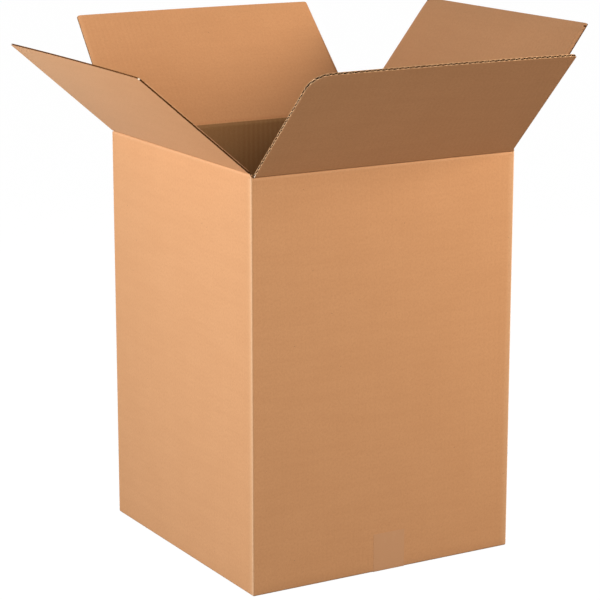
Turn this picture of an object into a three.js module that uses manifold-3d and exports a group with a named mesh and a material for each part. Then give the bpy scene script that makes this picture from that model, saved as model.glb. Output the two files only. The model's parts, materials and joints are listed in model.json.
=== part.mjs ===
// Square corrugated carton with four open top flaps, in millimetres, +Z up
// X runs along the front face, -Y faces the front, and the origin is the centre of the base
import * as THREE from 'three';
import { mergeVertices } from 'three/addons/utils/BufferGeometryUtils.js';
import Module from 'manifold-3d';

const wasm = await Module();
wasm.setup();

// Inside size of the carton
const insideLength = 406; // along X
const insideWidth = 406; // along Y
const insideHeight = 559; // between the closed bottom and the closed top

// Single-wall board
const board = 4; // caliper
const liner = 0.4; // each facing paper
const flutePitch = 8.2;
const fluteFoot = 0.8; // half the glued width where the wave meets a liner
const fluteCrown = 1; // half the flat width of a channel's narrow side
const crushedRoot = 10; // stretch beside a crease where the flutes are pressed shut
const edgeWeb = 1; // least board beside the outermost channel

// Creases, slots and seams
const cornerRadius = 3; // outside radius of the upright creases
const innerCornerRadius = 1;
const bottomRadius = 2.5; // outside radius of the bottom creases
const slotClearance = 0.5; // between a flap's side edge and the wall it folds in beside
const meetingGap = 2; // between two flaps that meet in the middle
const creaseGap = 0.25; // from a crease to the board on either side of it
const layerGap = 0.3; // between the two layers of closed top flaps

// Glued seam inside the back right corner
const tabWidth = 38;
const tabSlant = 9; // how much shorter the tab is at its free edge, at each end
const tabEndClearance = 8; // from the tab's ends to the flaps folded over them

// Tape along the bottom seam, turned up over the front and back walls
const tapeWidth = 50;
const tapeOffset = 8; // its centre lies this far to the right of the seam
const tapeTurnUp = 55;
const tapeThickness = 0.25;
const tapeGap = 0.2; // between tape and board
const tapeBend = 1; // inside radius at the bottom creases

// Top flaps: how far each one leans out from upright, how much narrower
// each side is at the free edge, and how its two free corners are rounded
const flaps = {
  front_flap: { lean: 44.4, narrowing: 3, startRadius: 26, endRadius: 2 },
  back_flap: { lean: 41.8, narrowing: 7, startRadius: 2, endRadius: 2 },
  left_flap: { lean: 49.3, narrowing: 3, startRadius: 2, endRadius: 5 },
  right_flap: { lean: 37.7, narrowing: 3, startRadius: 2, endRadius: 2 },
};

// Worked out from the sizes above
const outsideLength = insideLength + 2 * board;
const outsideWidth = insideWidth + 2 * board;
const floorTop = 2 * board;
const minorCrease = floorTop + insideHeight + board; // creases of the front and back flaps
const majorCrease = minorCrease + board + layerGap; // creases of the left and right flaps
const minorSpan = insideLength - 2 * slotClearance; // width of the flaps on the front and back walls
const majorSpan = insideWidth - 2 * slotClearance;
const minorReach = (outsideWidth - meetingGap) / 2; // crease to free edge
const majorReach = (outsideLength - meetingGap) / 2;
const past = 2; // how far a cutting solid runs past what it cuts

// Directions in which a flat outline is drawn and carried through
const carriedAlongX = new THREE.Matrix4().makeBasis(
  new THREE.Vector3(0, 1, 0), new THREE.Vector3(0, 0, 1), new THREE.Vector3(1, 0, 0));
const carriedAlongY = new THREE.Matrix4().makeBasis(
  new THREE.Vector3(1, 0, 0), new THREE.Vector3(0, 0, 1), new THREE.Vector3(0, -1, 0));

function toSolid(geometry) {
  const bare = geometry.clone();
  bare.deleteAttribute('normal');
  bare.deleteAttribute('uv');
  const merged = mergeVertices(bare, 1e-5);
  return new wasm.Manifold(new wasm.Mesh({
    numProp: 3,
    vertProperties: new Float32Array(merged.attributes.position.array),
    triVerts: new Uint32Array(merged.index.array),
  }));
}

function toGeometry(solid) {
  const mesh = solid.getMesh();
  const geometry = new THREE.BufferGeometry();
  geometry.setAttribute('position', new THREE.BufferAttribute(new Float32Array(mesh.vertProperties), 3));
  geometry.setIndex(new THREE.BufferAttribute(new Uint32Array(mesh.triVerts), 1));
  geometry.computeVertexNormals();
  return geometry;
}

function block(low, high) {
  const geometry = new THREE.BoxGeometry(high[0] - low[0], high[1] - low[1], high[2] - low[2]);
  geometry.translate((low[0] + high[0]) / 2, (low[1] + high[1]) / 2, (low[2] + high[2]) / 2);
  return toSolid(geometry);
}

function outline(points) {
  return new THREE.Shape(points.map(([x, y]) => new THREE.Vector2(x, y)));
}

function prism(shapes, depth, direction, shift, curveSegments = 3) {
  const geometry = new THREE.ExtrudeGeometry(shapes, { depth, bevelEnabled: false, curveSegments });
  if (direction) geometry.applyMatrix4(direction);
  geometry.translate(...shift);
  return toSolid(geometry);
}

function roundedRectangle(length, width, radius) {
  const x = length / 2;
  const y = width / 2;
  const shape = new THREE.Shape();
  shape.moveTo(-x + radius, -y);
  shape.lineTo(x - radius, -y);
  shape.absarc(x - radius, -y + radius, radius, -Math.PI / 2, 0);
  shape.lineTo(x, y - radius);
  shape.absarc(x - radius, y - radius, radius, 0, Math.PI / 2);
  shape.lineTo(-x + radius, y);
  shape.absarc(-x + radius, y - radius, radius, Math.PI / 2, Math.PI);
  shape.lineTo(-x, -y + radius);
  shape.absarc(-x + radius, -y + radius, radius, Math.PI, 1.5 * Math.PI);
  return shape;
}

// The sheet's four walls, standing on their bottom creases
function makeWalls() {
  const section = roundedRectangle(outsideLength, outsideWidth, cornerRadius);
  section.holes.push(roundedRectangle(insideLength, insideWidth, innerCornerRadius));
  return prism(section, majorCrease, null, [0, 0, 0]);
}

// Outer form with the bottom creases rounded
function makeEnvelope() {
  const inset = 2 * bottomRadius;
  const section = roundedRectangle(outsideLength - inset, outsideWidth - inset, cornerRadius - bottomRadius);
  const geometry = new THREE.ExtrudeGeometry(section, {
    depth: majorCrease,
    bevelThickness: bottomRadius,
    bevelSize: bottomRadius,
    bevelSegments: 3,
    curveSegments: 3,
  });
  geometry.translate(0, 0, bottomRadius);
  return toSolid(geometry);
}

// Four bottom flaps: the outer pair from the side walls, the inner pair laid over it
function makeBottom() {
  const x = insideLength / 2 + board / 2;
  const y = insideWidth / 2 + board / 2;
  const seam = meetingGap / 2;
  return [
    block([-x, -majorSpan / 2, 0], [-seam, majorSpan / 2, board]),
    block([seam, -majorSpan / 2, 0], [x, majorSpan / 2, board]),
    block([-minorSpan / 2, -y, board], [minorSpan / 2, -seam, floorTop]),
    block([-minorSpan / 2, seam, board], [minorSpan / 2, y, floorTop]),
  ];
}

// Tab of the right wall, folded in and glued to the inside of the back wall
function makeGlueTab() {
  const right = insideLength / 2 + board / 2;
  const left = insideLength / 2 - tabWidth;
  const low = floorTop + tabEndClearance;
  const high = minorCrease - board - tabEndClearance;
  const shape = outline([[right, low], [right, high], [left, high - tabSlant], [left, low + tabSlant]]);
  return prism(shape, board + board / 2, carriedAlongY, [0, insideWidth / 2 + board / 2, 0]);
}

// Space above a pair of walls, whose board is cut back at 45 degrees below the crease
function mitreCut(halfOutside, crease, span, direction, shift) {
  const wallInside = halfOutside - board;
  const inward = wallInside - innerCornerRadius;
  const outward = halfOutside + past;
  const edge = crease - creaseGap;
  const above = majorCrease + past;
  const sides = [-1, 1].map((side) => outline([
    [side * inward, edge - board], [side * wallInside, edge - board], [side * outward, edge + past],
    [side * outward, above + past], [side * inward, above + past],
  ]));
  return prism(sides, span, direction, shift);
}

function makeCartonBody() {
  let body = makeWalls();
  for (const flap of makeBottom()) body = body.add(flap);
  body = body.add(makeGlueTab());
  body = body.intersect(makeEnvelope());
  const majorCutSpan = outsideWidth + 2 * past;
  body = body.subtract(mitreCut(outsideLength / 2, majorCrease, majorCutSpan, carriedAlongY,
    [0, majorCutSpan / 2, 0]));
  const minorCutSpan = insideLength + board;
  body = body.subtract(mitreCut(outsideWidth / 2, minorCrease, minorCutSpan, carriedAlongX,
    [-minorCutSpan / 2, 0, 0]));
  // The tape presses the seam in by its own thickness
  const reach = tapeWidth / 2 + tapeGap;
  return body.subtract(block(
    [tapeOffset - reach, -outsideWidth / 2 - past, -past],
    [tapeOffset + reach, outsideWidth / 2 + past, tapeThickness + tapeGap]));
}

// Half of the tape's profile across the carton, from the seam's middle to its raised end
function tapeSide(offset, side) {
  const y = outsideWidth / 2 + tapeGap + tapeThickness - offset;
  const bend = tapeBend + tapeThickness - offset;
  const points = [];
  const steps = 3;
  for (let i = 0; i <= steps; i += 1) {
    const angle = (i / steps) * Math.PI / 2;
    points.push([side * (y - bend + bend * Math.sin(angle)), offset + bend - bend * Math.cos(angle)]);
  }
  points.push([side * y, tapeTurnUp]);
  return points;
}

function makeTape() {
  const outer = [...tapeSide(0, -1).reverse(), ...tapeSide(0, 1)];
  const inner = [...tapeSide(tapeThickness, 1).reverse(), ...tapeSide(tapeThickness, -1)];
  return prism(outline([...outer, ...inner]), tapeWidth, carriedAlongX, [tapeOffset - tapeWidth / 2, 0, 0]);
}

// A flap standing upright on its crease at the origin: its width along X, its outer face at y = 0
function flapOutline(span, reach, { narrowing, startRadius, endRadius }) {
  const foot = span / 2;
  const tip = foot - narrowing;
  const shape = new THREE.Shape();
  shape.moveTo(-foot, 0);
  shape.lineTo(foot, 0);
  shape.lineTo(tip, reach - endRadius);
  shape.quadraticCurveTo(tip, reach, tip - endRadius, reach);
  shape.lineTo(-tip + startRadius, reach);
  shape.quadraticCurveTo(-tip, reach, -tip, reach - startRadius);
  return shape;
}

// Channels on both sides of the waved paper, open at the flap's free edge
function fluteChannels(span, reach, narrowing) {
  const channels = [];
  const room = span / 2 - narrowing - edgeWeb - flutePitch / 2;
  const steps = Math.floor(room / (flutePitch / 2));
  for (let i = -steps; i <= steps; i += 1) {
    const x = i * flutePitch / 2;
    const fromOuter = i % 2 === 0;
    const wide = flutePitch / 2 - fluteFoot;
    const wideSide = fromOuter ? liner : board - liner;
    const narrowSide = fromOuter ? board - 2 * liner : 2 * liner;
    channels.push(outline([
      [x - wide, wideSide], [x + wide, wideSide], [x + fluteCrown, narrowSide], [x - fluteCrown, narrowSide],
    ]));
  }
  return prism(channels, reach - crushedRoot + past, null, [0, 0, crushedRoot]);
}

function makeFlap(span, reach, form) {
  const section = outline([
    [0, creaseGap], [board, creaseGap + board], [board, reach], [0, reach],
  ]);
  const plate = prism(section, span, carriedAlongX, [-span / 2, 0, 0]);
  const face = prism(flapOutline(span, reach, form), board + 2 * past, carriedAlongY,
    [0, board + past, 0], 6);
  return plate.intersect(face).subtract(fluteChannels(span, reach, form.narrowing));
}

const kraftBoard = { color: 0xc99468, roughness: 0.82, metalness: 0 };
const clearTape = { color: 0xc8a27e, roughness: 0.35, metalness: 0 };

function addMesh(parent, name, solid, look) {
  const mesh = new THREE.Mesh(toGeometry(solid), new THREE.MeshStandardMaterial(look));
  mesh.name = name;
  parent.add(mesh);
  return mesh;
}

const carton = new THREE.Group();
addMesh(carton, 'carton_body', makeCartonBody(), kraftBoard);
addMesh(carton, 'bottom_tape', makeTape(), clearTape);

// Each top flap turns about its crease, which lies on the outer face of its wall
const placements = {
  front_flap: { turn: 0, crease: [0, -outsideWidth / 2, minorCrease], span: minorSpan, reach: minorReach },
  back_flap: { turn: 180, crease: [0, outsideWidth / 2, minorCrease], span: minorSpan, reach: minorReach },
  left_flap: { turn: -90, crease: [-outsideLength / 2, 0, majorCrease], span: majorSpan, reach: majorReach },
  right_flap: { turn: 90, crease: [outsideLength / 2, 0, majorCrease], span: majorSpan, reach: majorReach },
};
for (const [name, { turn, crease, span, reach }] of Object.entries(placements)) {
  const hinge = new THREE.Group();
  hinge.position.set(...crease);
  hinge.rotation.z = THREE.MathUtils.degToRad(turn);
  const flap = addMesh(hinge, name, makeFlap(span, reach, flaps[name]), kraftBoard);
  flap.rotation.x = THREE.MathUtils.degToRad(flaps[name].lean);
  carton.add(hinge);
}

export default carton;
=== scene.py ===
import json
import math

import bpy
import numpy as np
from mathutils import Matrix, Vector


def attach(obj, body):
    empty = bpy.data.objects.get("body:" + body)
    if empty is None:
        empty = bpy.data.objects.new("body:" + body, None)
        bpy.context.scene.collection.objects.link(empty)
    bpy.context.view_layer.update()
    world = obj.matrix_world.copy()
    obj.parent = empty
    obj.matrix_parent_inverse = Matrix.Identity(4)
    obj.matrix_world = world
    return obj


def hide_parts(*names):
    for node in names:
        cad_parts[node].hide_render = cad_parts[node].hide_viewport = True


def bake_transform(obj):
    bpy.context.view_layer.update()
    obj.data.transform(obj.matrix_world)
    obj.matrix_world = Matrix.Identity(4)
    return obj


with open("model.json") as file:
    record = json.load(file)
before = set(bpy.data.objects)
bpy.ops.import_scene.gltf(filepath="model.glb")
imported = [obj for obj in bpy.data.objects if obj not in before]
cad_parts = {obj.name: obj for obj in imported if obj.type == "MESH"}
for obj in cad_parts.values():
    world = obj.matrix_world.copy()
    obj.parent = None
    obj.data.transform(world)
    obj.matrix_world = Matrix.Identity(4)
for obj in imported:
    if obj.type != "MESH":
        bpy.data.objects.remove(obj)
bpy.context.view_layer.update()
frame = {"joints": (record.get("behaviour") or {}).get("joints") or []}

mm = 0.001


# Camera and stage

shot = {
    "azimuth": -30.155,     # degrees round the carton, 0 looks along +Y
    "elevation": 13.432,
    "distance": 3.2498,
    "aside": -0.0123,       # how far the view's middle lies to the side, along the picture
    "height": 0.3427,       # of the point in the view's middle
    "lens": 136.4,
    "sensor": 36.0,
}


def direction(azimuth, elevation):
    # Unit vector from the carton to a place at those two angles
    turn, rise = math.radians(azimuth), math.radians(elevation)
    return Vector((math.sin(turn) * math.cos(rise), -math.cos(turn) * math.cos(rise), math.sin(rise)))


def makeCamera():
    # The camera stands at distance times the back vector from its aim, and looks along minus that
    back = direction(shot["azimuth"], shot["elevation"])
    turn = math.radians(shot["azimuth"])
    right = Vector((math.cos(turn), math.sin(turn), 0))
    up = back.cross(right)
    place = back * shot["distance"] + right * shot["aside"] + Vector((0, 0, shot["height"]))
    data = bpy.data.cameras.new("photoCamera")
    data.sensor_width = shot["sensor"]
    data.lens = shot["lens"]
    data.clip_start, data.clip_end = 0.1, 100
    camera = bpy.data.objects.new("photoCamera", data)
    axes = Matrix((right, up, back)).transposed().to_4x4()
    camera.matrix_world = Matrix.Translation(place) @ axes
    bpy.context.scene.collection.objects.link(camera)
    bpy.context.scene.camera = camera


makeCamera()
print("camera made")


# Shader maths

class Wire:
    # A socket's value: + - and * on it add Math nodes
    def __init__(self, graph, socket):
        self.graph, self.socket = graph, socket

    def __add__(self, other):
        return self.graph.maths("ADD", self, other)

    def __radd__(self, other):
        return self.graph.maths("ADD", other, self)

    def __sub__(self, other):
        return self.graph.maths("SUBTRACT", self, other)

    def __rsub__(self, other):
        return self.graph.maths("SUBTRACT", other, self)

    def __mul__(self, other):
        return self.graph.maths("MULTIPLY", self, other)

    def __rmul__(self, other):
        return self.graph.maths("MULTIPLY", other, self)


class Graph:
    # A material's or the world's node tree, and the one method that adds nodes to it
    def __init__(self, owner):
        owner.use_nodes = True
        self.tree = owner.node_tree
        self.tree.nodes.clear()

    def node(self, kind, settings=None, sockets=None, output=0):
        made = self.tree.nodes.new(kind)
        for name, value in (settings or {}).items():
            setattr(made, name, value)
        for name, value in (sockets or {}).items():
            if isinstance(value, Wire):
                self.tree.links.new(value.socket, made.inputs[name])
            else:
                made.inputs[name].default_value = value
        return Wire(self, made.outputs[output]) if len(made.outputs) else made

    def maths(self, operation, first, second=0.0):
        return self.node("ShaderNodeMath", {"operation": operation}, {0: first, 1: second})

    def blendColour(self, factor, first, second, kind="MIX"):
        return self.node("ShaderNodeMix", {"data_type": "RGBA", "blend_type": kind},
                         {0: factor, 6: first, 7: second}, output=2)

    def stretched(self, vector, scale):
        return self.node("ShaderNodeVectorMath", {"operation": "MULTIPLY"}, {0: vector, 1: scale})

    def noise(self, vector, detail=2.0, roughness=0.5):
        return self.node("ShaderNodeTexNoise", None,
                         {"Vector": vector, "Scale": 1.0, "Detail": detail, "Roughness": roughness})

    def between(self, value, low, high):
        # 0 below low, 1 above high, smooth in between
        return self.node("ShaderNodeMapRange", {"interpolation_type": "SMOOTHSTEP"},
                         {"Value": value, "From Min": low, "From Max": high})


def colour(red, green, blue):
    # A screen colour from 0 to 255 as the linear values that a socket takes
    parts = np.array([red, green, blue]) / 255
    linear = np.where(parts <= 0.04045, parts / 12.92, ((parts + 0.055) / 1.055) ** 2.4)
    return (*linear.tolist(), 1.0)


def newMaterial(name):
    material = bpy.data.materials.new(name)
    return material, Graph(material)


# Kraft paper

paper = {
    "liner": colour(214, 158, 111),
    "linerPale": colour(226, 173, 127),
    "linerDeep": colour(198, 141, 94),
    "fleck": colour(120, 78, 48),
    "cut": colour(244, 200, 154),
    "cutDeep": colour(206, 152, 104),
    "flute": colour(92, 52, 22),
    "crushed": colour(170, 118, 74),
    "crushedDeep": colour(126, 80, 44),
    "torn": colour(252, 238, 216),
    # pale by wear and painted highlight
    "wearAndPaintedHighlight": colour(246, 208, 168),
    # painted shade on the creases and across parts of the flaps
    "creased": colour(132, 88, 54),
    "flutePitch": 8.2 * mm,
    "roughness": 0.82,
    "specular": 0.28,
}


def paperCoordinates(graph):
    # The sheet's own map: metres along the creases, then metres along the flutes
    return graph.node("ShaderNodeUVMap", {"uv_map": "sheet"})


grains = {
    # name: stretch of the sheet's metres, detail, roughness, mixed in from and to, amount, colour
    "fibres": ((700, 260, 1), 3.0, 0.6, 0.3, 0.75, 0.3, "linerPale"),
    "pulp": ((330, 300, 1), 4.0, 0.75, 0.4, 0.7, 0.42, "linerDeep"),
    "mottle": ((18, 12, 1), 3.0, 0.5, 0.3, 0.7, 0.1, "linerDeep"),
    "streaks": ((190, 6, 1), 2.0, 0.5, 0.4, 0.75, 0.06, "linerDeep"),
    "bands": ((9, 70, 1), 4.0, 0.6, 0.35, 0.7, 0.14, "linerDeep"),
}
flecks = {
    "stretch": (70, 110, 1),   # cells to the metre, one fleck at most in each
    "size": (0.03, 0.075),     # of a cell, from the fleck's dark middle to its end
    "chosen": (0.9, 0.93),     # the cells whose random value is above these hold a fleck
    "amount": 0.55,
}
relief = {
    "fibres": 0.5,
    "pulp": 0.8,
    "streaks": 0.3,
    "wave": 0.45,              # print-through of the flutes
    "patches": (9, 5, 1),      # stretch of the noise that lets it fade here and there
    "strength": 0.5,
    "height": 0.05 * mm,
    "roughnessSwing": 0.14,
}
# Mix of the per-point value: above 0 wear and painted highlight, below 0 painted shade
wearAndPaintedLightMix = {
    "fibres": (0.2, 0.6),      # the fibres' values between which the wear and painted highlight take hold
    "least": 0.5,              # share of the wear and painted highlight that shows everywhere
    "paintedShadeAmount": 0.7,
}


def linerMaterial(name, tint=(1, 1, 1, 1), washboard=1.0, shadows=0.05):
    # Colour: the liner mixed with each grain in turn, darkened as painted shade of the flutes' ripple
    # by a cosine of the distance across the flutes where the wave is glued behind, flecked, made pale
    # by wear and painted highlight or dark by painted shade from the per-point value, and tinted.
    # Height: the weighted sum of fibres, pulp, streaks and that cosine
    material, graph = newMaterial(name)
    uv = paperCoordinates(graph)
    noises, base = {}, paper["liner"]
    for grain, (stretch, detail, roughness, low, high, amount, tone) in grains.items():
        noises[grain] = graph.noise(graph.stretched(uv, stretch), detail, roughness)
        base = graph.blendColour(graph.between(noises[grain], low, high) * amount, base, paper[tone])
    across = graph.node("ShaderNodeSeparateXYZ", None, {0: uv}, output=0)
    wave = graph.maths("COSINE", across * (2 * math.pi / paper["flutePitch"]))
    patchy = graph.between(graph.noise(graph.stretched(uv, relief["patches"])), 0.35, 0.7)
    # painted shade of the flutes' ripple, stronger where shadows is larger
    base = graph.blendColour((wave * 0.5 + 0.5) * patchy * shadows, base, paper["linerDeep"])
    base = graph.blendColour(fleckMask(graph, uv) * flecks["amount"], base, paper["fleck"])
    wearAndPaintedLight = graph.node("ShaderNodeAttribute", {"attribute_name": "wearAndPaintedLight"}, None, output=2)
    uneven = graph.between(noises["fibres"], *wearAndPaintedLightMix["fibres"]) * (1 - wearAndPaintedLightMix["least"]) + wearAndPaintedLightMix["least"]
    # paler where the per-point value is above 0: wear and painted highlight
    base = graph.blendColour(graph.maths("MAXIMUM", wearAndPaintedLight, 0) * uneven, base, paper["wearAndPaintedHighlight"])
    # darker where it is below 0: painted shade
    pressed = graph.maths("MAXIMUM", wearAndPaintedLight * -1, 0) * wearAndPaintedLightMix["paintedShadeAmount"]
    base = graph.blendColour(pressed, base, paper["creased"])
    base = graph.blendColour(1.0, base, tint, "MULTIPLY")
    height = wave * (relief["wave"] * washboard)
    for grain in ("fibres", "pulp", "streaks"):
        height = height + noises[grain] * relief[grain]
    rough = paper["roughness"] + (noises["pulp"] - 0.5) * relief["roughnessSwing"]
    endMaterial(graph, base, rough, height, relief["strength"], relief["height"], paper["specular"])
    return material


def fleckMask(graph, uv):
    # 1 within a small distance of the middle of the few cells whose random value is high enough
    cells = [graph.node("ShaderNodeTexVoronoi", {"feature": "F1"},
                        {"Vector": graph.stretched(uv, flecks["stretch"]), "Scale": 1.0}, output=i)
             for i in (0, 1)]
    random = graph.node("ShaderNodeSeparateXYZ", None, {0: cells[1]}, output=0)
    return (1 - graph.between(cells[0], *flecks["size"])) * graph.between(random, *flecks["chosen"])


nap = {
    "stretch": (1800, 1800, 1),    # loose fibres on a cut
    "fibres": 0.6,                 # share of the deeper colour that they bring
    "soilStretch": (120, 120, 1),
    "soil": 0.3,
    "roughness": 0.88,
    "strength": 0.6,
    "height": 0.08 * mm,
}


def cutMaterial(name, pale, deep, specular):
    # A cut or torn paper edge: pale, mixed with the deeper colour by fine fibres and broader soil
    material, graph = newMaterial(name)
    uv = paperCoordinates(graph)
    fibres = graph.noise(graph.stretched(uv, nap["stretch"]), 3.0, 0.6)
    soil = graph.noise(graph.stretched(uv, nap["soilStretch"]))
    mixed = graph.between(fibres, 0.3, 0.7) * nap["fibres"] + graph.between(soil, 0.4, 0.7) * nap["soil"]
    base = graph.blendColour(mixed, pale, deep)
    endMaterial(graph, base, nap["roughness"], fibres, nap["strength"], nap["height"], specular)
    return material


def endMaterial(graph, base, rough, height, strength, distance, specular):
    # distance is the relief's full height in metres, and strength how much of it is shown
    bump = graph.node("ShaderNodeBump", None, {"Height": height, "Strength": strength, "Distance": distance})
    shader = graph.node("ShaderNodeBsdfPrincipled", None,
                        {"Base Color": base, "Roughness": rough, "Normal": bump,
                         "Specular IOR Level": specular})
    graph.node("ShaderNodeOutputMaterial", None, {"Surface": shader})


outerLiner = linerMaterial("outerLiner")
innerLiner = linerMaterial("innerLiner", tint=(0.97, 0.96, 0.95, 1), washboard=1.6, shadows=0.08)
# Painted shade: the walls' inner faces darkened by this tint and by strong flute stripes
insideLinerPaintedShade = linerMaterial("insideLinerPaintedShade", tint=(0.49, 0.52, 0.45, 1), washboard=3.0, shadows=0.6)
cutEdge = cutMaterial("cutEdge", paper["cut"], paper["cutDeep"], specular=0.1)
crushedEdge = cutMaterial("crushedEdge", paper["crushed"], paper["crushedDeep"], specular=0.05)
tornFibre = cutMaterial("tornFibre", paper["torn"], paper["cut"], specular=0.1)
wavedPaper = cutMaterial("wavedPaper", paper["flute"], paper["flute"], specular=0.0)
boardMaterials = [outerLiner, innerLiner, cutEdge, wavedPaper, insideLinerPaintedShade, crushedEdge, tornFibre]
outerSlot, innerSlot, cutSlot, waveSlot, insidePaintedShadeSlot, crushedSlot, tornSlot = range(7)
print("paper materials made")


# Mesh building

sharpAngle = 35      # degrees between faces, above which their edge is shaded sharp


def newPiece(name, parts, materials):
    # parts is a list of (points, quads, uv, slots, wear and painted light), joined into one mesh. The
    # last is above 0 where the paper is pale by wear and painted highlight and below 0 where it is painted
    # shade
    pointLists = [part[0].reshape(-1, 3) for part in parts]
    points = np.concatenate(pointLists)
    starts = np.cumsum([0] + [len(listed) for listed in pointLists[:-1]])
    quads = np.concatenate([part[1] + start for part, start in zip(parts, starts)])
    uv = np.concatenate([part[2].reshape(-1, 2) for part in parts])
    slots = np.concatenate([part[3] for part in parts])
    mesh = bpy.data.meshes.new(name)
    mesh.vertices.add(len(points))
    mesh.vertices.foreach_set("co", points.astype(np.float32).ravel())
    mesh.loops.add(quads.size)
    mesh.loops.foreach_set("vertex_index", quads.astype(np.int32).ravel())
    mesh.polygons.add(len(quads))
    mesh.polygons.foreach_set("loop_start", np.arange(0, quads.size, 4, dtype=np.int32))
    mesh.polygons.foreach_set("material_index", slots.astype(np.int32))
    mesh.update(calc_edges=True)
    wearAndPaintedLight = np.concatenate([np.asarray(part[4], float).ravel() for part in parts])
    mesh.attributes.new("wearAndPaintedLight", "FLOAT", "POINT").data.foreach_set("value", wearAndPaintedLight.astype(np.float32))
    sheetMap = mesh.uv_layers.new(name="sheet")
    sheetMap.data.foreach_set("uv", uv[quads.ravel()].astype(np.float32).ravel())
    for material in materials:
        mesh.materials.append(material)
    mesh.shade_smooth()
    mesh.set_sharp_from_angle(angle=math.radians(sharpAngle))
    piece = bpy.data.objects.new(name, mesh)
    bpy.context.scene.collection.objects.link(piece)
    return piece


def quadGrid(index, closedRows=False, closedColumns=False):
    # Quads between neighbouring entries of an index grid, turning from rows to columns
    if closedRows:
        index = np.concatenate([index, index[:1]])
    if closedColumns:
        index = np.concatenate([index, index[:, :1]], axis=1)
    return np.stack([index[:-1, :-1], index[1:, :-1], index[1:, 1:], index[:-1, 1:]], -1).reshape(-1, 4)


def shell(front, back, uv, frontSlot, backSlot, edgeSlot, wearAndPaintedLight=0.0):
    # A closed sheet: the front grid, the back grid turned over, and a band round the border
    rows, columns = front.shape[:2]
    fore = np.arange(rows * columns).reshape(rows, columns)
    rear = fore + rows * columns
    faces = [quadGrid(fore), quadGrid(rear)[:, ::-1]]
    slots = [np.broadcast_to(slot, (rows - 1, columns - 1)).ravel() for slot in (frontSlot, backSlot)]
    border = [
        quadGrid(np.stack([rear[:, 0], fore[:, 0]], 1)),
        quadGrid(np.stack([fore[:, -1], rear[:, -1]], 1)),
        quadGrid(np.stack([rear[0], fore[0]], 1))[:, ::-1],
        quadGrid(np.stack([fore[-1], rear[-1]], 1))[:, ::-1],
    ]
    faces += border
    slots += [np.full(len(quads), edgeSlot) for quads in border]
    wearAndPaintedLightLayers = np.stack([np.broadcast_to(wearAndPaintedLight, (rows, columns)), np.zeros((rows, columns))])
    return np.stack([front, back]), np.concatenate(faces), np.stack([uv, uv]), np.concatenate(slots), wearAndPaintedLightLayers


# Top flaps

board = {
    "caliper": 4 * mm,
    "liner": 0.5 * mm,
    "medium": 0.42 * mm,
    "mediumCut": 0.7 * mm,   # the waved paper's thickness where the knife has frayed it
    "ripple": 0.05 * mm,     # how far the liners follow the flutes behind them
    "creased": 2.8 * mm,     # thickness pressed into the crease
    "creaseReach": 3 * mm,   # how far the pressing reaches on either side
    "creaseFall": 2.2,       # how steeply the pressing ends
    "blendShare": 0.8,       # share of creaseReach over which the sheet bends when a flap turns
    "groove": 0.7 * mm,      # how deep the crease is pressed into the outer face
    "grooveWidth": 1.3 * mm,
    "paintedCreaseShadeHalfWidth": 0.6 * mm,  # half width of the painted shade line along the crease
    "paintedCreaseHighlight": 0.16,      # painted highlight on the pale line just below it
    "paintedCreaseHighlightAt": 2.2 * mm,
    "bend": 0.35 * mm,       # softness of the bend
    "strip": 5 * mm,         # how far a flap's piece reaches down the wall
    "pinchReach": 3 * mm,    # how far in from a cut the knife has pressed the board flat
    "side": 202.5 * mm,      # half a flap's width at its crease
    "panel": 410 * mm,       # from crease to crease round the sheet
    "ribbon": 3.5 * mm,      # width of the cut wave along a flap's side edge
    "ribbonIn": 0.15 * mm,   # how far that wave stays back from the liners' edge
    "ribbonWave": 8 * mm,
    "ribbonSwing": 0.95,     # share of the room between the liners that it swings through
    "ribbonShifts": ((0.22, 6.1 * mm), (0.3, 17 * mm)),   # turns and length of each sine that shifts it
    "folded": 170,           # degrees from upright at the far end of a flap's range
    "linerSteps": 10,        # rows of quads from the crease's rows to the outer edge
    "waveSteps": 5,
}
flapForms = {
    # order round the sheet; reach, narrowing of each side, corner radii and warp in mm; pinch at
    # the two side edges and crush at the outer edge as shares of the thickness; pressed, how dark
    # the painted shade on the crease is; then painted light (above 0) or painted shade (below 0) at the two
    # sides
    "front_flap": {"order": 0, "reach": 205.9, "narrowing": 3, "startRadius": 26, "endRadius": 2,
                   "warp": 1.2, "pinch": (0.08, 0.3), "crush": 0.0, "pressed": 0.8,
                   "paintedLightAcross": (0.0, -0.22)},
    "right_flap": {"order": 1, "reach": 205, "narrowing": 3, "startRadius": 2, "endRadius": 2,
                   "warp": -0.6, "pinch": (0.55, 0.3), "crush": 0.45, "pressed": 0.5,
                   "paintedLightAcross": (0.0, 0.0)},
    "back_flap": {"order": 2, "reach": 205.9, "narrowing": 7, "startRadius": 2, "endRadius": 2,
                  "warp": 1.4, "pinch": (0.3, 0.3), "crush": 0.0, "pressed": 0.5,
                  "paintedLightAcross": (0.0, 0.0)},
    "left_flap": {"order": 3, "reach": 205.9, "narrowing": 3, "startRadius": 2, "endRadius": 7,
                  "warp": 1.0, "pinch": (0.3, 0.42), "crush": 0.45, "pressed": 0.3,
                  "paintedLightAcross": (0.3, 0.0)},
}
joints = {joint["child"]: joint for joint in frame["joints"]}


def flapFrame(name):
    # Crease point, direction along the crease, outward direction and lean of a flap at rest
    joint = joints[name]
    crease = np.array(joint["pos_m"])
    along = np.array(joint["axis"], float)
    outward = np.cross(along, (0, 0, 1))
    lean = math.radians(board["folded"] - joint["range_deg"][1])
    return crease, along, outward, lean


def cornerReach(across, form):
    # How far the sheet reaches at a share across of its width: the full reach, less a quarter
    # circle's fall within the corner radius of either side
    half = board["side"] - form["narrowing"] * mm
    reach = np.full(across.shape, form["reach"] * mm)
    corners = ((form["startRadius"] * mm, (1 + across) * half), (form["endRadius"] * mm, (1 - across) * half))
    for radius, gap in corners:
        inside = np.clip(radius - gap, 0, radius)
        reach = reach - (radius - np.sqrt(radius ** 2 - inside ** 2))
    return reach


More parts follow.
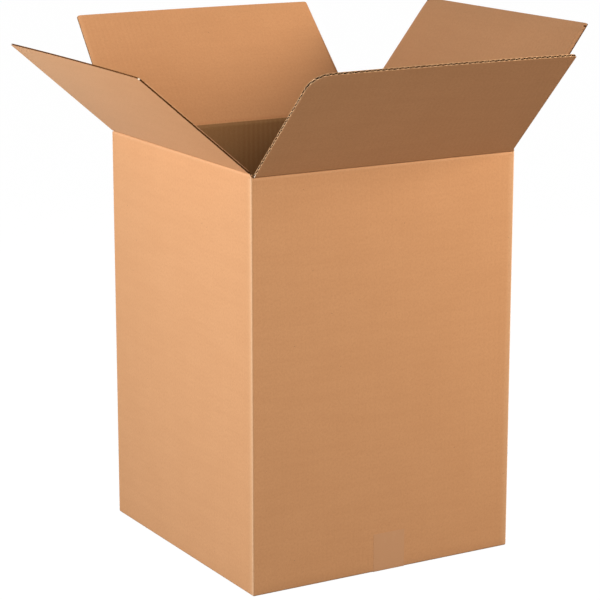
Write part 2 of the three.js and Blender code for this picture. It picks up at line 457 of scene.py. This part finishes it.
def flapPoint(name, across, along, depth):
    # A point of the flap's board: across from -1 to 1 over its width, along in metres from the
    # crease, negative down the wall, and depth in shares of the thickness from the outer face.
    # The outer line is the wall's way times (along - soft) / 2 plus the flap's way times
    # (along + soft) / 2, where soft is the root of along squared plus the bend squared, and the
    # depth is laid off along the normal, which turns with it. The thickness falls by Gauss curves
    # at the crease and at the cuts, and the middle bows by a parabola across
    form = flapForms[name]
    crease, axis, outward, lean = flapFrame(name)
    up = np.array((0.0, 0.0, 1.0))
    flapWay = up * math.cos(lean) + outward * math.sin(lean)
    soft = np.sqrt(along ** 2 + board["bend"] ** 2)
    onFlap, onWall = (along + soft) / 2, (along - soft) / 2
    share = 0.5 + 0.5 * along / soft
    wallNormal = -outward
    flapNormal = -outward * math.cos(lean) + up * math.sin(lean)
    normal = wallNormal * (1 - share[..., None]) + flapNormal * share[..., None]
    normal = normal / np.linalg.norm(normal, axis=-1, keepdims=True)
    pressed = np.exp(-(along / board["creaseReach"]) ** 2 * board["creaseFall"])
    groove = board["groove"] * np.exp(-(along / board["grooveWidth"]) ** 2)
    thickness = board["caliper"] - (board["caliper"] - board["creased"]) * pressed
    reached = np.clip(onFlap / (form["reach"] * mm), 0, 1)
    half = board["side"] - form["narrowing"] * mm * reached
    pinched = [pinch * np.exp(-((1 + side * across) * half / board["pinchReach"]) ** 2)
               for pinch, side in zip(form["pinch"], (1, -1))]
    thickness = thickness * (1 - (pinched[0] + pinched[1]) * np.clip(along / board["creaseReach"], 0, 1))
    crushed = form["crush"] * np.exp(-((form["reach"] * mm - along) / board["pinchReach"]) ** 2)
    thickness = thickness * (1 - crushed)
    bow = form["warp"] * mm * (1 - across ** 2) * np.sin(reached * math.pi / 2) ** 2
    offset = depth * (thickness - groove) + groove + bow
    line = crease + up * onWall[..., None] + flapWay * onFlap[..., None]
    return line + axis * (across * half)[..., None] + normal * offset[..., None]


def flapUv(name, across, along):
    # Metres round the sheet, then metres up it
    form = flapForms[name]
    u = form["order"] * board["panel"] + across * board["side"]
    v = joints[name]["pos_m"][2] + along
    return np.stack(np.broadcast_arrays(u, v), -1)


# Distances of the rows beside the crease, close together where the board bends
nearCrease = np.array([-5, -3.6, -2.6, -1.9, -1.35, -0.9, -0.55, -0.25, 0,
                       0.25, 0.55, 0.9, 1.35, 1.9, 2.6, 3.6, 5, 7]) * mm


def alongGrid(name, across, count):
    # Distances from the crease for each share across, from the strip on the wall to the cut edge
    shares = np.linspace(0, 1, count + 1)[1:] ** 0.8
    reach = cornerReach(across, flapForms[name])[:, None]
    near = np.repeat(nearCrease[None], len(across), 0)
    return np.concatenate([near, nearCrease[-1] + (reach - nearCrease[-1]) * shares], axis=1)


def cutOf(name):
    # The slot of a flap's cut edges
    return crushedSlot if flapForms[name]["crush"] else cutSlot


def flute(across):
    # A cosine of the distance across, one turn for each flute
    return np.cos(2 * math.pi * across * board["side"] / paper["flutePitch"])


def paintedFlapLight(name, across, along):
    # Painted shade by a Gauss curve on the crease, painted highlight by another just below it, and
    # painted light (above 0) or painted shade (below 0) across the flap, which runs evenly from one side to
    # the other
    form = flapForms[name]
    start, end = form["paintedLightAcross"]
    # painted light (above 0) or painted shade (below 0) across the flap, from one side to the other
    paintedLightAcross = (start + (end - start) * (across + 1) / 2) * np.clip(along / board["strip"], 0, 1)
    fromPale = (along + board["paintedCreaseHighlightAt"]) / board["paintedCreaseShadeHalfWidth"] / 2
    pale = board["paintedCreaseHighlight"] * np.exp(-fromPale ** 2) * (along < 0)
    return pale + paintedLightAcross - form["pressed"] * np.exp(-(along / board["paintedCreaseShadeHalfWidth"]) ** 2)


def outerPaper(name, across):
    # The outer liner, from the outer face to its own thickness, rippled by the flutes behind it
    along = alongGrid(name, across, board["linerSteps"])
    acrossGrid = np.repeat(across[:, None], along.shape[1], 1)
    waved = board["ripple"] / board["caliper"] * flute(acrossGrid)
    front = flapPoint(name, acrossGrid, along, waved)
    back = flapPoint(name, acrossGrid, along, board["liner"] / board["caliper"] + waved)
    uv, wearAndPaintedLight = flapUv(name, acrossGrid, along), paintedFlapLight(name, acrossGrid, along)
    return shell(front, back, uv, outerSlot, waveSlot, cutOf(name), wearAndPaintedLight)


def innerPaper(name, across):
    # The inner liner, from its own thickness to the inner face. Below the crease its face belongs
    # to the wall's inside
    along = alongGrid(name, across, board["linerSteps"])
    acrossGrid = np.repeat(across[:, None], along.shape[1], 1)
    waved = board["ripple"] / board["caliper"] * flute(acrossGrid)
    front = flapPoint(name, acrossGrid, along, 1 - board["liner"] / board["caliper"] + waved)
    back = flapPoint(name, acrossGrid, along, 1 + waved)
    ends = np.concatenate([nearCrease[1:], np.full(board["linerSteps"], board["panel"])])
    # below the crease the inner face takes the inside liner with its painted shade
    inner = np.where(ends <= 0, insidePaintedShadeSlot, innerSlot)
    return shell(front, back, flapUv(name, acrossGrid, along), waveSlot, inner, cutOf(name))


def waveRoom():
    # How far the wave swings from the board's middle, in shares of the board's thickness
    return (board["caliper"] - 2 * board["liner"] - board["medium"]) / 2 / board["caliper"]


def waveLayer(name, across):
    # The waved paper: its depth follows the flutes' cosine between the two liners
    along = alongGrid(name, across, board["waveSteps"])
    acrossGrid = np.repeat(across[:, None], along.shape[1], 1)
    frayed = np.zeros_like(along)
    frayed[:, -1] = 1
    return wavedShell(name, acrossGrid, along, 0.5 + waveRoom() * flute(acrossGrid), frayed)


def wavedShell(name, across, along, depth, frayed=1.0):
    # frayed is the share by which the paper is thickened to its cut
    thick = board["medium"] + (board["mediumCut"] - board["medium"]) * frayed
    halfThick = thick / 2 / board["caliper"]
    front = flapPoint(name, across, along, depth - halfThick)
    back = flapPoint(name, across, along, depth + halfThick)
    return shell(front, back, flapUv(name, across, along), waveSlot, waveSlot, cutOf(name))


def sideRibbon(name, side):
    # The wave where the knife cut along it: a narrow band whose depth is a cosine of the distance
    # along the edge, so that it shows as a row of dark gaps. Two sines shift the gaps unevenly
    form = flapForms[name]
    radius = form["endRadius"] if side > 0 else form["startRadius"]
    length = (form["reach"] - radius) * mm
    along = np.linspace(board["creaseReach"], length, int(round(length / board["ribbonWave"] * 8)))
    ends = 1 - np.array([board["ribbon"], board["ribbonIn"]]) / board["side"]
    across = np.linspace(*ends, 4) if side > 0 else -np.linspace(*ends, 4)[::-1]
    acrossGrid, alongAll = np.meshgrid(across, along, indexing="ij")
    turns = alongAll / board["ribbonWave"]
    for shift, spread in board["ribbonShifts"]:
        turns = turns + shift * np.sin(alongAll / spread)
    depth = 0.5 + waveRoom() * board["ribbonSwing"] * np.cos(2 * math.pi * turns)
    return wavedShell(name, acrossGrid, alongAll, depth)


tears = {
    # name: gaps to the side edge at the start and end, bulge, thickness, all in mm, then the side
    "left_flap": (0.9, 2.4, 0.5, 0.4, 1),
}
curls = {
    # name: start and end along the side edge and how far it stands out, in mm, depth at its root,
    # how far it curls and how thick it is, in shares of the board's thickness, then the side
    "front_flap": (0.6, 6.5, 1.5, 0.2, 0.6, 0.07, -1),
}


def tornPatch(name):
    # A bit of liner dragged over the cut at a rounded corner, bulging by half a sine turn over
    # the board's thickness
    start, end, bulge, thick, side = tears[name]
    half = board["side"] - flapForms[name]["narrowing"] * mm
    gap = np.linspace(start, end, 6) * mm
    across = side * (1 - gap / half)
    reach = cornerReach(across, flapForms[name])
    depth = np.linspace(-0.02, 1.04, 7)
    acrossGrid, depthGrid = np.meshgrid(across, depth, indexing="ij")
    alongAll = reach[:, None] + bulge * mm * np.sin(math.pi * depthGrid.clip(0, 1))
    front = flapPoint(name, acrossGrid, alongAll, depthGrid)
    back = flapPoint(name, acrossGrid, alongAll - thick * mm, depthGrid)
    return shell(front, back, flapUv(name, acrossGrid, alongAll), tornSlot, tornSlot, tornSlot)


def curledSliver(name):
    # A sliver of the outer liner standing out from the side edge beside the crease, widest in the
    # middle by a sine and curling outwards by the square of the distance
    start, end, out, root, curl, thick, side = curls[name]
    along = np.linspace(start, end, 9) * mm
    rise = np.linspace(0, 1, 5)
    alongAll, riseAll = np.meshgrid(along, rise, indexing="ij")
    width = np.sin(math.pi * np.linspace(0.08, 0.92, len(along)))[:, None]
    form = flapForms[name]
    half = board["side"] - form["narrowing"] * mm * alongAll / (form["reach"] * mm)
    across = side * (1 + out * mm * width * riseAll / half)
    depth = root - curl * riseAll ** 2 * width
    front = flapPoint(name, across, alongAll, depth)
    back = flapPoint(name, across, alongAll, depth + thick)
    return shell(front, back, flapUv(name, across, alongAll), tornSlot, tornSlot, tornSlot)


def makeFlap(name):
    # Four rows of quads to a flute in the liners and eight in the wave, which ends at the ribbons
    flutes = 2 * board["side"] / paper["flutePitch"]
    linerAcross = spreadAcross(name, int(flutes * 4))
    waveAcross = spreadAcross(name, int(flutes * 8))
    waveAcross = waveAcross[np.abs(waveAcross) < 1 - board["ribbon"] / board["side"]]
    parts = [outerPaper(name, linerAcross), innerPaper(name, linerAcross), waveLayer(name, waveAcross)]
    parts += [sideRibbon(name, side) for side in (-1, 1)]
    parts += [tornPatch(name)] if name in tears else []
    parts += [curledSliver(name)] if name in curls else []
    piece = newPiece(name + "_board", parts, boardMaterials)
    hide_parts(name)
    crease, _, outward, lean = flapFrame(name)
    middle = np.array((0, 0, 1 + math.cos(lean))) + outward * math.sin(lean)
    middle = middle / np.linalg.norm(middle)
    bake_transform(piece)


def spreadAcross(name, count):
    # Shares across the flap, evenly spaced, with extra ones round a rounded corner
    form = flapForms[name]
    half = board["side"] - form["narrowing"] * mm
    angles = np.linspace(0, math.pi / 2, 10)
    start = -1 + form["startRadius"] * mm * (1 - np.cos(angles)) / half
    end = 1 - form["endRadius"] * mm * (1 - np.cos(angles)) / half
    across = np.concatenate([np.linspace(-1, 1, count + 1), start, end])
    return np.unique(np.round(across, 6))


for flapName in flapForms:
    makeFlap(flapName)
    print(flapName, "made")


# Walls

walls = {
    "half": 207 * mm,
    "radius": 2.6 * mm,       # outside radius of the upright creases
    "innerRadius": 0.6 * mm,
    "bottomRadius": 2.5 * mm,
    "groove": 0.15 * mm,      # depth of the pressed line beside an upright crease
    "grooveAt": 4.0 * mm,     # from the crease's rounding
    "grooveWidth": 1.5 * mm,
    "grooveFrom": 0.005,      # share of the height at which it starts
    "grooveRise": 60,         # full depths gained per wall height above that
    "grooveInside": 0.6,      # share of it by which the inner face bulges
    "wearAndPaintedHighlight": 0.75,             # how pale the wear and painted highlight along the upright creases are
    "wearAndPaintedHighlightAt": 1.2 * mm,       # from the start of the crease's rounding
    "wearAndPaintedHighlightWidth": 0.8 * mm,
    "paintedBroadHighlight": 0.24,           # wider, fainter painted highlight on the wall before the corner
    "paintedBroadHighlightWidth": 5 * mm,
    "bow": 0.9 * mm,          # how far a wall's middle stands out
    "floorGap": 0.3 * mm,     # between the floor and the bottom flaps
    "slot": 0.1 * mm,         # between a corner post and the flap's side
    "postShort": 0.5 * mm,    # how far a corner post ends below the crease
    "postDip": 0.8 * mm,
    "seam": 1 * mm,           # half the gap between two bottom flaps
    "sag": 0.4 * mm,          # of the bottom flaps that lie on top
    "bottomPressed": 0.2 * mm,   # how much thinner than the board each bottom flap is
    "rows": 46,
    "columns": 30,            # over the open part of a wall
    "openFrom": 26 * mm,      # how far from a corner that part begins
}
sides = ["front_flap", "right_flap", "back_flap", "left_flap"]


# Distances of the other columns from a corner's rounding, close together beside the groove
nearCorner = np.array([0, 1.2, 2.4, 3.6, 4.8, 6.0, 7.4, 9.5, 13, 18]) * mm


def perimeter():
    # Columns round the walls: (side, distance along it, angle round the next corner)
    straight = walls["half"] - walls["radius"]
    openHalf = straight - walls["openFrom"]
    middle = np.linspace(-openHalf, openHalf, walls["columns"])
    distances = np.concatenate([-straight + nearCorner, middle, (straight - nearCorner)[::-1]])
    angles = np.linspace(0, math.pi / 2, 9)[1:-1]
    columns = []
    for side in range(4):
        columns += [(side, distance, 0.0) for distance in distances]
        columns += [(side, straight, angle) for angle in angles]
    return np.array(columns)


def wallPoints(columns, depth, height, creaseTop):
    # Points of the walls at each column, depth below the outer face and height. Round a corner
    # the direction turns from one wall's outward normal to the next one's. The walls bow by a
    # parabola across times half a sine turn up, and a Gauss groove runs beside each corner
    side = columns[:, 0].astype(int)
    outward = np.array([(0, -1, 0), (1, 0, 0), (0, 1, 0), (-1, 0, 0)], float)[side]
    along = np.array([(1, 0, 0), (0, 1, 0), (-1, 0, 0), (0, -1, 0)], float)[side]
    angle = columns[:, 2]
    way = outward * np.cos(angle)[:, None] + along * np.sin(angle)[:, None]
    straight = walls["half"] - walls["radius"]
    edge = straight - np.abs(columns[:, 1])
    groove = walls["groove"] * np.exp(-((edge - walls["grooveAt"]) / walls["grooveWidth"]) ** 2)
    rise = np.clip(height / creaseTop, 0, 1)
    bow = walls["bow"] * (1 - (columns[:, 1] / straight) ** 2)[:, None] * np.sin(rise * math.pi)
    press = groove[:, None] * np.clip((rise - walls["grooveFrom"]) * walls["grooveRise"], 0, 1)
    radius = np.maximum(walls["radius"] - depth, walls["innerRadius"])
    spare = np.minimum(walls["radius"] - depth - walls["innerRadius"], 0)
    out = radius - press * np.where(depth < board["caliper"] / 2, 1, -walls["grooveInside"]) + bow
    reached = columns[:, 1:2] * (straight + spare) / straight
    points = outward[:, None, :] * (straight + spare)[..., None] + along[:, None, :] * reached[..., None]
    points = points + way[:, None, :] * out[..., None]
    points[..., 2] = height
    return points


def creaseHeights(columns):
    # Height of the crease over each column, running evenly from one wall's to the next round a corner
    heights = np.array([joints[name]["pos_m"][2] for name in sides])
    side = columns[:, 0].astype(int)
    turn = columns[:, 2] / (math.pi / 2)
    return heights[side] * (1 - turn) + heights[(side + 1) % 4] * turn


def makeWalls():
    # A profile up the outside, over the rim, down the inside and round under, carried round the walls
    columns = perimeter()
    top = (creaseHeights(columns) - board["strip"])[:, None]
    low = walls["bottomRadius"]
    rise = np.linspace(0, 1, walls["rows"])[None]
    outer = low + (top - low) * rise
    inner = top + (walls["floorGap"] - top) * rise
    arc = np.linspace(-math.pi / 2, -math.pi, 6)[None]
    arcDepth = low + low * np.cos(arc)
    arcHeight = low + low * np.sin(arc)
    ones = np.ones((len(columns), 1))
    height = np.concatenate([outer, inner, arcHeight[:, :-1] * ones], axis=1)
    flat = [np.zeros_like(outer), np.full(inner.shape, board["caliper"])]
    depth = np.concatenate(flat + [arcDepth[:, :-1] * ones], axis=1)
    points = wallPoints(columns, depth, height, joints["front_flap"]["pos_m"][2])
    index = np.arange(points.shape[0] * points.shape[1]).reshape(points.shape[:2])
    quads = quadGrid(index, closedRows=True, closedColumns=True)
    travel = columns[:, 0] * board["panel"] + columns[:, 1] + columns[:, 2] * walls["radius"]
    uv = np.stack([np.repeat(travel[:, None], height.shape[1], 1), height], -1)
    rows = walls["rows"]
    # the inner faces take the inside liner with its painted shade
    ring = np.concatenate([np.full(rows - 1, outerSlot), [cutSlot], np.full(rows - 1, insidePaintedShadeSlot),
                           np.full(height.shape[1] - 2 * rows + 1, outerSlot)])
    slots = np.tile(ring, len(columns))
    # pale along the upright creases on the outside: wear and painted highlight
    wearAndPaintedLight = cornerWearAndPaintedHighlight(columns)[:, None] * (depth < low / 2)
    return [(points, quads, uv, slots, wearAndPaintedLight)] + cornerPosts()


def cornerWearAndPaintedHighlight(columns):
    # Pale along the upright creases: a sharp Gauss line on the rounding, partly wear and partly painted
    # highlight, and a broad faint painted highlight on the wall before the corner. Columns past a wall's
    # middle only count for their own end
    straight = walls["half"] - walls["radius"]
    past = columns[:, 2] * walls["radius"] - (straight - columns[:, 1])
    past = np.where(columns[:, 1] < 0, -1.0, past)
    # wear and painted highlight on the rounding
    sharp = walls["wearAndPaintedHighlight"] * np.exp(-((past - walls["wearAndPaintedHighlightAt"]) / walls["wearAndPaintedHighlightWidth"]) ** 2)
    # painted highlight on the wall before the corner
    broad = walls["paintedBroadHighlight"] * np.exp(-(np.minimum(past, 0) / walls["paintedBroadHighlightWidth"]) ** 2)
    return np.maximum(sharp, broad * (past < walls["wearAndPaintedHighlightAt"]))


def cornerPosts():
    # The stub of board between two slots: the corner's rounding carried on up to the crease, its
    # top dipping by half a sine turn
    angles = np.linspace(0, math.pi / 2, 9)
    straight = walls["half"] - walls["radius"]
    parts = []
    for side in range(4):
        following = (side + 1) % 4
        columns = [(side, board["side"] + walls["slot"], 0.0)]
        columns += [(side, straight, angle) for angle in angles[:-1]]
        columns += [(following, -straight, 0.0), (following, -board["side"] - walls["slot"], 0.0)]
        columns = np.array(columns)
        crease = creaseHeights(columns)[:, None]
        low = crease - board["strip"]
        share = np.linspace(0, 1, len(columns))[:, None]
        top = crease - walls["postShort"] - walls["postDip"] * np.sin(math.pi * share)
        height = low + (top - low) * np.linspace(0, 1, 5)[None]
        front = wallPoints(columns, np.zeros_like(height), height, crease.max())
        back = wallPoints(columns, np.full(height.shape, board["caliper"]), height, crease.max())
        travel = (side * board["panel"] + columns[:, 1] + columns[:, 2] * walls["radius"])[:, None]
        uv = np.stack([travel * np.ones_like(height), height], -1)
        # pale along the upright creases: wear and painted highlight
        wearAndPaintedLight = cornerWearAndPaintedHighlight(columns)[:, None] * np.ones_like(height)
        parts.append(shell(front, back, uv, outerSlot, insidePaintedShadeSlot, cutSlot, wearAndPaintedLight))
    return parts


def plate(corners, low, high, order, sag=0.0):
    # A flat board on the floor of the carton between two corners, its upper face sagging by half
    # a sine turn across times half a sine turn away
    (left, near), (right, far) = corners
    across, away = np.meshgrid(np.linspace(0, 1, 24), np.linspace(0, 1, 12), indexing="ij")
    x, y = left + (right - left) * across, near + (far - near) * away
    drop = sag * np.sin(math.pi * across) * np.sin(math.pi * away)
    under = np.stack([x, y, np.full_like(x, low)], -1)[:, ::-1]
    over = np.stack([x, y, high - drop], -1)[:, ::-1]
    uv = np.stack([order * board["panel"] + x, y], -1)[:, ::-1]
    return shell(under, over, uv, outerSlot, innerSlot, cutSlot)


def makeBottom():
    # Outer pair from the side walls, then the inner pair from the front and back walls over it
    reach = walls["half"] - board["caliper"] - walls["floorGap"]
    side, seam, thick = board["side"], walls["seam"], board["caliper"]
    low, pressed = walls["floorGap"], walls["bottomPressed"]
    outer = (low, low + thick - pressed)
    inner = (low + thick, low + 2 * thick - 2 * pressed)
    return [
        plate(((seam, -side), (reach, side)), *outer, 2),
        plate(((-reach, -side), (-seam, side)), *outer, 3),
        plate(((-side, seam), (side, reach)), *inner, 2, walls["sag"]),
        plate(((-side, -reach), (side, -seam)), *inner, 0, walls["sag"]),
    ]


glueTab = {
    "wide": 38 * mm,
    "slant": 9 * mm,         # how far its ends slant in to its free edge
    "clear": 8 * mm,         # from the bottom flaps, and from the top crease
    "sideGap": 0.4 * mm,     # to the right wall
    "glue": 0.05 * mm,
    "thick": 0.82,           # share of the board's thickness that the glued tab keeps
    "pressed": 0.12,         # share that is pressed out of its crease at the right wall
    "pressedFall": 6,        # how steeply that pressing ends
}


def makeGlueTab():
    # The right wall's tab inside the back wall: width along X, thinned by a Gauss curve towards
    # its crease
    wide, slant, thick = glueTab["wide"], glueTab["slant"], board["caliper"]
    right = walls["half"] - thick - glueTab["sideGap"]
    low = 2 * thick + glueTab["clear"]
    high = joints["back_flap"]["pos_m"][2] - thick - glueTab["clear"]
    away, up = np.meshgrid(np.linspace(1, 0, 8), np.linspace(0, 1, 40), indexing="ij")
    x = right - wide * away
    z = low + slant * away + (high - low - 2 * slant * away) * up
    y = np.full(x.shape, walls["half"] - thick - glueTab["glue"])
    pressed = glueTab["pressed"] * np.exp(-(away * glueTab["pressedFall"]) ** 2)
    front = np.stack([x, y - thick * (glueTab["thick"] - pressed), z], -1)
    back = np.stack([x, y, z], -1)
    uv = np.stack([2 * board["panel"] - x, z], -1)
    return [shell(front, back, uv, insidePaintedShadeSlot, insidePaintedShadeSlot, cutSlot)]


cartonSheet = newPiece("carton_sheet", makeWalls() + makeBottom() + makeGlueTab(), boardMaterials)
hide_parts("carton_body")
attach(cartonSheet, "carton")
print("carton sheet made")


# Tape

tape = {
    "width": 50 * mm,
    "offset": 8 * mm,        # of its middle from the carton's, to the right
    "turnUp": 55 * mm,       # how far it reaches up the front and back walls
    "film": 0.08 * mm,
    "lift": 0.06 * mm,       # off the wall
    "bend": 1.2 * mm,        # radius round the bottom crease
    "floorGap": 0.02 * mm,
    "paper": colour(205, 153, 111),
    "paperPale": colour(212, 164, 124),
    "fibreStretch": (260, 1500, 1),
    "fibres": 0.3,           # share of the paler colour that the fibres bring
    "bubble": colour(216, 174, 138),
    "bubbleStretch": (90, 40, 1),
    "bubbles": 0.08,
    "roughness": 0.5,
    "specular": 0.35,
    "strength": 0.25,        # of the bubbles' bump
    "height": 0.1 * mm,
}


def tapeMaterial():
    # Clear film over kraft: the paper's colour a little greyer and smoother, with faint bubbles
    material, graph = newMaterial("clearTape")
    uv = paperCoordinates(graph)
    fibres = graph.noise(graph.stretched(uv, tape["fibreStretch"]), 3.0, 0.6)
    bubbles = graph.noise(graph.stretched(uv, tape["bubbleStretch"]), 3.0, 0.5)
    paler = graph.between(fibres, 0.3, 0.75) * tape["fibres"]
    base = graph.blendColour(paler, tape["paper"], tape["paperPale"])
    caught = graph.between(bubbles, 0.55, 0.72) * tape["bubbles"]
    base = graph.blendColour(caught, base, tape["bubble"])
    endMaterial(graph, base, tape["roughness"], bubbles, tape["strength"], tape["height"], tape["specular"])
    return material


def makeTape():
    # A strip along a path: down the front wall, round the crease, along the seam and up the back.
    # Its inner face lies along the path's normal, and it follows the walls' bow
    outside = walls["half"] + tape["lift"] + tape["film"]
    bend = tape["bend"]
    angles = np.linspace(0, math.pi / 2, 6)
    upright = np.linspace(tape["turnUp"], bend, 12)
    y = np.concatenate([np.full(11, -outside), -outside + bend - bend * np.cos(angles)])
    z = np.concatenate([upright[:-1], bend - bend * np.sin(angles)])
    flat = np.linspace(-outside + bend, outside - bend, 40)[1:-1]
    pathY = np.concatenate([y, flat, -y[::-1]])
    pathZ = np.concatenate([z, np.zeros_like(flat), z[::-1]]) + tape["floorGap"]
    step = np.hypot(np.diff(pathY), np.diff(pathZ))
    length = np.concatenate([[0], np.cumsum(step)])
    tangentY, tangentZ = np.gradient(pathY, length), np.gradient(pathZ, length)
    norm = np.hypot(tangentY, tangentZ)
    inwardY, inwardZ = -tangentZ / norm, tangentY / norm
    x = tape["offset"] + np.linspace(-0.5, 0.5, 14) * tape["width"]
    outer = np.stack(np.broadcast_arrays(x[:, None], pathY[None], pathZ[None]), -1)
    straight = walls["half"] - walls["radius"]
    rise = pathZ / joints["front_flap"]["pos_m"][2]
    bulge = walls["bow"] * (1 - (x[:, None] / straight) ** 2) * np.sin(math.pi * rise)[None]
    outer[..., 1] += np.sign(pathY)[None] * bulge
    inward = np.stack([np.zeros_like(pathY), inwardY, inwardZ], -1)
    inner = outer + inward[None] * tape["film"]
    uv = np.stack(np.broadcast_arrays(x[:, None], -length[None]), -1)
    front, back, uv = outer[:, ::-1], inner[:, ::-1], uv[:, ::-1]
    piece = newPiece("seam_tape", [shell(front, back, uv, 0, 0, 0)], [tapeMaterial()])
    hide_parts("bottom_tape")
    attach(piece, "carton")


makeTape()
print("tape made")


# Floor, world and lamps

stage = {
    "floor": colour(128, 128, 128),
    "lift": 0.88,        # share of plain white that the camera sees in the floor
    "plain": 1.13,       # strength of that white
    "ambient": 0.03,
    "size": 30.0,
    "aim": (-0.03, -0.03, 0.44),   # what the lamps point at
}
lamps = {
    # name: azimuth and elevation in degrees, distance, disk size, watts, tone
    "key": (-70, 12, 2.1, 0.9, 17.5, (0.97, 1.0, 1.05)),
    "left": (-100, 25, 2.1, 0.9, 17.5, (0.97, 1.0, 1.05)),
    "low": (-55, 12, 2.1, 0.9, 7, (1.04, 1.0, 0.9)),
    "front": (50, 26, 2.1, 0.9, 42, (1.11, 1.0, 0.88)),
    "side": (-100, 7, 1.2, 0.6, 2.1, (0.99, 1.0, 1.04)),
    "rear": (145, 28, 2.1, 0.9, 13, (1.0, 0.97, 0.93)),
}


def seenRay(graph):
    # 1 for camera, glossy and transmission rays, which see the plain white
    rays = [graph.node("ShaderNodeLightPath", None, None, output=i) for i in (0, 3, 6)]
    return graph.maths("MAXIMUM", graph.maths("MAXIMUM", rays[0], rays[1]), rays[2])


def makeFloor():
    mesh = bpy.data.meshes.new("floor")
    half = stage["size"] / 2
    corners = [(-half, -half, 0), (half, -half, 0), (half, half, 0), (-half, half, 0)]
    mesh.from_pydata(corners, [], [(0, 1, 2, 3)])
    floor = bpy.data.objects.new("floor", mesh)
    bpy.context.scene.collection.objects.link(floor)
    material, graph = newMaterial("floorPaper")
    lit = graph.node("ShaderNodeBsdfDiffuse", None, {"Color": stage["floor"]})
    plain = graph.node("ShaderNodeEmission", None, {"Color": (1, 1, 1, 1), "Strength": stage["plain"]})
    surface = graph.node("ShaderNodeMixShader", None, {0: seenRay(graph) * stage["lift"], 1: lit, 2: plain})
    graph.node("ShaderNodeOutputMaterial", None, {"Surface": surface})
    mesh.materials.append(material)


def makeWorld():
    world = bpy.data.worlds.new("studio")
    bpy.context.scene.world = world
    graph = Graph(world)
    strength = stage["ambient"] + seenRay(graph) * (1 - stage["ambient"])
    background = graph.node("ShaderNodeBackground", None, {"Color": (1, 1, 1, 1), "Strength": strength})
    graph.node("ShaderNodeOutputWorld", None, {"Surface": background})


def makeLamps():
    aim = Vector(stage["aim"])
    for name, (azimuth, elevation, distance, size, watts, tone) in lamps.items():
        place = aim + distance * direction(azimuth, elevation)
        data = bpy.data.lights.new(name, "AREA")
        data.shape, data.size, data.energy, data.color = "DISK", size, watts, tone
        lamp = bpy.data.objects.new(name, data)
        lamp.location = place
        lamp.rotation_euler = (aim - place).to_track_quat("-Z", "Y").to_euler()
        bpy.context.scene.collection.objects.link(lamp)


makeFloor()
makeWorld()
makeLamps()
bpy.context.scene.view_settings.view_transform = "Standard"
print("stage and lamps made")
